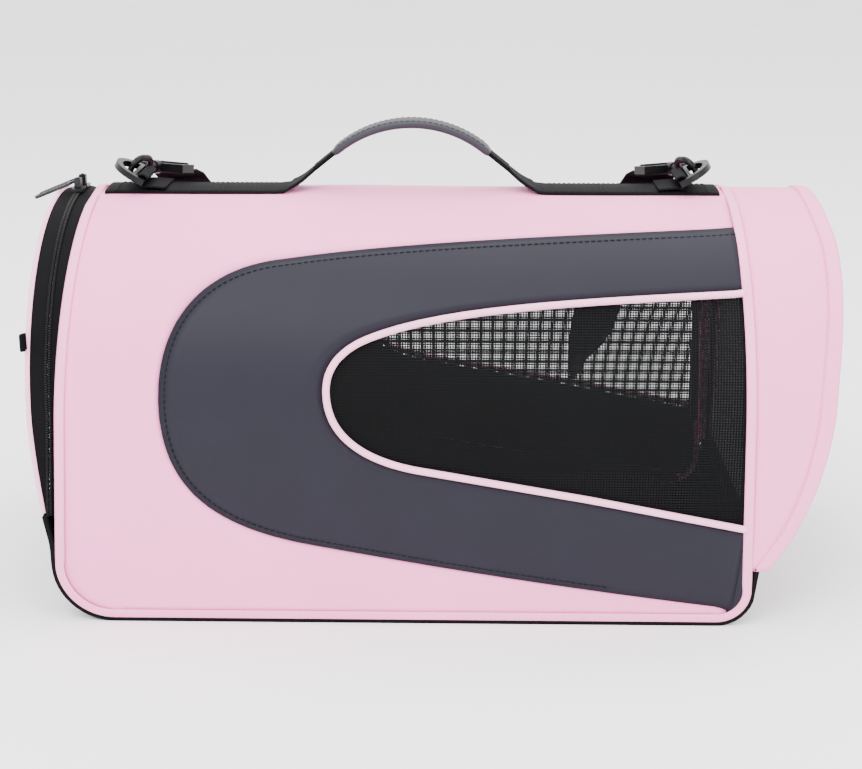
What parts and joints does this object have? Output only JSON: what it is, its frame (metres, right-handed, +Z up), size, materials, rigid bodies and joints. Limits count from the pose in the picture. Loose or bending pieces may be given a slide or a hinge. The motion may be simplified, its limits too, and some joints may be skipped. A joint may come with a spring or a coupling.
{
  "type": "pet carrier bag",
  "caption": "Tunnel-shaped soft pet carrier with mesh side windows, a zipped end door, a visor at the other end, a carry handle and a clip-on shoulder strap.",
  "frame": {"origin": "centre of the base on the floor, under the middle of the shell", "axes": "+X towards the visor end, -X towards the zipped door, +Y towards the side where the strap hangs, +Z up"},
  "size_m": [0.5717, 0.3236, 0.334],
  "materials": {
    "shell_fabric": "smooth laminated fabric, pale pink, satin",
    "binding_fabric": "folded pink binding tape, stitched",
    "hem_fabric": "pink hem, stitched",
    "panel_leather": "charcoal grey coated fabric, fine grain",
    "mesh": "black open polyester mesh",
    "piping": "pink piping cord",
    "stay": "flat plastic boning",
    "base_fabric": "black coated base fabric",
    "board": "rigid sheet",
    "fleece": "soft fleece",
    "zip_tape": "woven zip tape",
    "zip_teeth": "coil teeth",
    "webbing": "charcoal woven webbing",
    "grip_leather": "padded grey grip",
    "hardware": "black moulded acetal",
    "metal": "gunmetal zip hardware"
  },
  "bodies": {
    "bag": {"shell_wrap": "shell_fabric", "edge_binding": "binding_fabric", "near_side_panel": "panel_leather", "far_side_panel": "panel_leather", "near_window_mesh": "mesh", "far_window_mesh": "mesh", "near_window_piping": "piping", "far_window_piping": "piping", "left_arch_stay": "stay", "right_arch_stay": "stay", "base_panel": "base_fabric", "base_board": "board", "fleece_mat": "fleece", "zip_outer_tape": "zip_tape", "zip_outer_teeth": "zip_teeth", "end_frame": "base_fabric", "end_mesh": "mesh", "end_piping": "piping", "visor": "shell_fabric", "visor_hem": "hem_fabric", "crown_webbing_left": "webbing", "crown_webbing_right": "webbing", "ring_tab_left": "webbing", "ring_tab_right": "webbing", "swivel_left": "hardware", "swivel_right": "hardware", "strap_end_left": "webbing", "strap_end_right": "webbing"},
    "end_door": {"door_frame": "base_fabric", "door_mesh": "mesh", "door_piping": "piping", "zip_inner_tape": "zip_tape", "zip_inner_teeth": "zip_teeth", "door_tab": "webbing"},
    "slider_near": {"zip_slider_near": "metal"},
    "pull_near": {"zip_pull_near": "metal"},
    "slider_far": {"zip_slider_far": "metal"},
    "pull_far": {"zip_pull_far": "metal"},
    "handle": {"handle_webbing": "webbing", "handle_grip": "grip_leather"},
    "ring_left": {"d_ring_left": "hardware"},
    "ring_right": {"d_ring_right": "hardware"},
    "hook_left": {"hook_left": "hardware"},
    "hook_right": {"hook_right": "hardware"},
    "gate_left": {"hook_gate_left": "hardware"},
    "gate_right": {"hook_gate_right": "hardware"},
    "strap": {"strap_webbing": "webbing"},
    "adjuster": {"strap_adjuster": "hardware"}
  },
  "joints": [
    {"name": "door_fold", "type": "hinge", "parent": "bag", "child": "end_door", "pos_m": [-0.2585, 0, 0.077], "axis": [0, -1, 0], "range_deg": [0, 105]},
    {"name": "slider_near_run", "type": "hinge", "parent": "bag", "child": "slider_near", "pos_m": [-0.2435, 0, 0.145], "axis": [1, 0, 0], "range_deg": [0, 78]},
    {"name": "pull_near_flip", "type": "hinge", "parent": "slider_near", "child": "pull_near", "pos_m": [-0.2435, -0.00809, 0.28977], "axis": [0, 0.9984, 0.0558], "range_deg": [0, 140]},
    {"name": "slider_far_run", "type": "hinge", "parent": "bag", "child": "slider_far", "pos_m": [-0.2435, 0, 0.145], "axis": [-1, 0, 0], "range_deg": [0, 78]},
    {"name": "pull_far_flip", "type": "hinge", "parent": "slider_far", "child": "pull_far", "pos_m": [-0.2435, 0.00809, 0.28977], "axis": [0, 0.9984, -0.0558], "range_deg": [0, 140]},
    {"name": "handle_tilt", "type": "hinge", "parent": "bag", "child": "handle", "pos_m": [0, 0, 0.298], "axis": [1, 0, 0], "range_deg": [-75, 75]},
    {"name": "ring_left_lift", "type": "hinge", "parent": "bag", "child": "ring_left", "pos_m": [-0.195, 0, 0.291], "axis": [0, 1, 0], "range_deg": [0, 5]},
    {"name": "ring_right_lift", "type": "hinge", "parent": "bag", "child": "ring_right", "pos_m": [0.195, 0, 0.291], "axis": [0, -1, 0], "range_deg": [0, 5]},
    {"name": "hook_left_swivel", "type": "hinge", "parent": "bag", "child": "hook_left", "pos_m": [-0.2025, 0.018, 0.295], "axis": [0.4185, 0.8975, -0.1392], "range_deg": [-6, 6]},
    {"name": "hook_right_swivel", "type": "hinge", "parent": "bag", "child": "hook_right", "pos_m": [0.2025, 0.018, 0.295], "axis": [-0.4185, 0.8975, -0.1392], "range_deg": [-6, 6]},
    {"name": "gate_left_press", "type": "hinge", "parent": "hook_left", "child": "gate_left", "pos_m": [-0.20156, 0.02783, 0.28792], "axis": [-0.7555, 0.4291, 0.4951], "range_deg": [0, 12], "stiffness_Nm_per_rad": 0.02, "springref_deg": -5.73},
    {"name": "gate_right_press", "type": "hinge", "parent": "hook_right", "child": "gate_right", "pos_m": [0.20156, 0.02783, 0.28792], "axis": [-0.7555, -0.4291, -0.4951], "range_deg": [0, 12], "stiffness_Nm_per_rad": 0.02, "springref_deg": -5.73},
    {"name": "strap_swing", "type": "hinge", "parent": "bag", "child": "strap", "pos_m": [0, 0.04834, 0.2903], "axis": [1, 0, 0], "range_deg": [0, 150]},
    {"name": "adjuster_slide", "type": "slide", "parent": "strap", "child": "adjuster", "axis": [0, 0, 1], "range_m": [-0.02, 0.025]}
  ]
}
